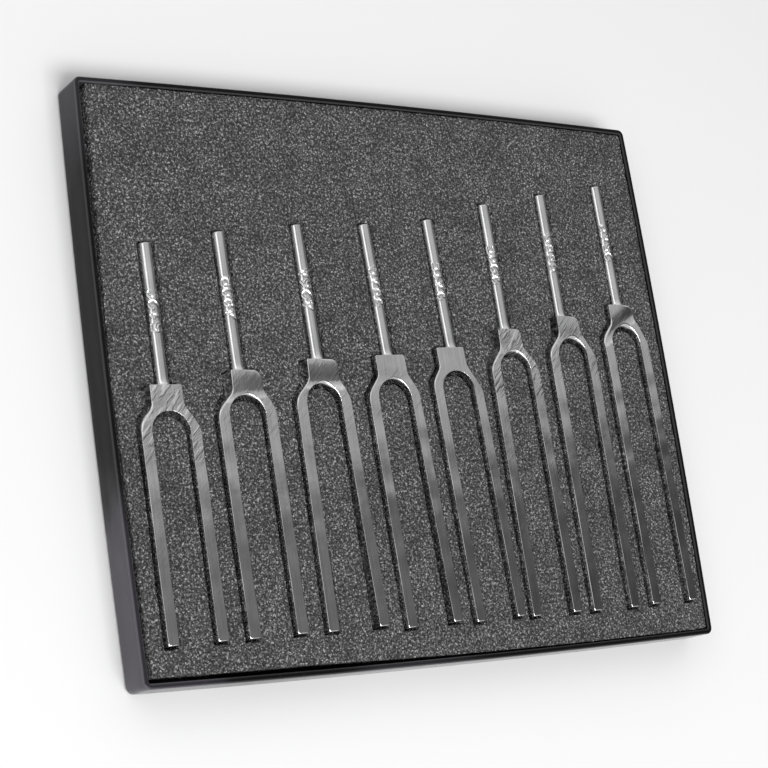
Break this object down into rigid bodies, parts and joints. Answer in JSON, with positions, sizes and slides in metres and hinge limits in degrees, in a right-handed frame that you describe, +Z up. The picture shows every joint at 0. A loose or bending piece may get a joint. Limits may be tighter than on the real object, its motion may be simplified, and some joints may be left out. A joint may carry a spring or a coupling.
{
  "type": "tuning fork set",
  "caption": "Aluminium tuning forks of one musical octave lying in die-cut foam pockets in a shallow glossy tray; each fork lifts out by hand.",
  "frame": {"origin": "centre of the tray's underside", "axes": "+X across the tray from the shortest fork to the longest, +Y from the tine tips towards the stems, +Z up out of the foam"},
  "size_m": [0.2584, 0.2188, 0.0158],
  "materials": {
    "tray_plastic": "black moulded gloss, lightly scuffed",
    "foam": "coarse-cell charcoal polyurethane foam",
    "fork_metal": "hand polished, with fine sanding marks and stamped stems"
  },
  "bodies": {
    "case": {"tray": "tray_plastic", "foam_base": "foam", "foam_top": "foam"},
    "fork_c512": {"fork_c512": "fork_metal"},
    "fork_b480": {"fork_b480": "fork_metal"},
    "fork_a426": {"fork_a426": "fork_metal"},
    "fork_g384": {"fork_g384": "fork_metal"},
    "fork_f341": {"fork_f341": "fork_metal"},
    "fork_e320": {"fork_e320": "fork_metal"},
    "fork_d288": {"fork_d288": "fork_metal"},
    "fork_c256": {"fork_c256": "fork_metal"}
  },
  "joints": [
    {"name": "lift_c512", "type": "slide", "parent": "case", "child": "fork_c512", "axis": [0, 0, 1], "range_m": [0, 0.06]},
    {"name": "lift_b480", "type": "slide", "parent": "case", "child": "fork_b480", "axis": [0, 0, 1], "range_m": [0, 0.06]},
    {"name": "lift_a426", "type": "slide", "parent": "case", "child": "fork_a426", "axis": [0, 0, 1], "range_m": [0, 0.06]},
    {"name": "lift_g384", "type": "slide", "parent": "case", "child": "fork_g384", "axis": [0, 0, 1], "range_m": [0, 0.06]},
    {"name": "lift_f341", "type": "slide", "parent": "case", "child": "fork_f341", "axis": [0, 0, 1], "range_m": [0, 0.06]},
    {"name": "lift_e320", "type": "slide", "parent": "case", "child": "fork_e320", "axis": [0, 0, 1], "range_m": [0, 0.06]},
    {"name": "lift_d288", "type": "slide", "parent": "case", "child": "fork_d288", "axis": [0, 0, 1], "range_m": [0, 0.06]},
    {"name": "lift_c256", "type": "slide", "parent": "case", "child": "fork_c256", "axis": [0, 0, 1], "range_m": [0, 0.06]}
  ]
}
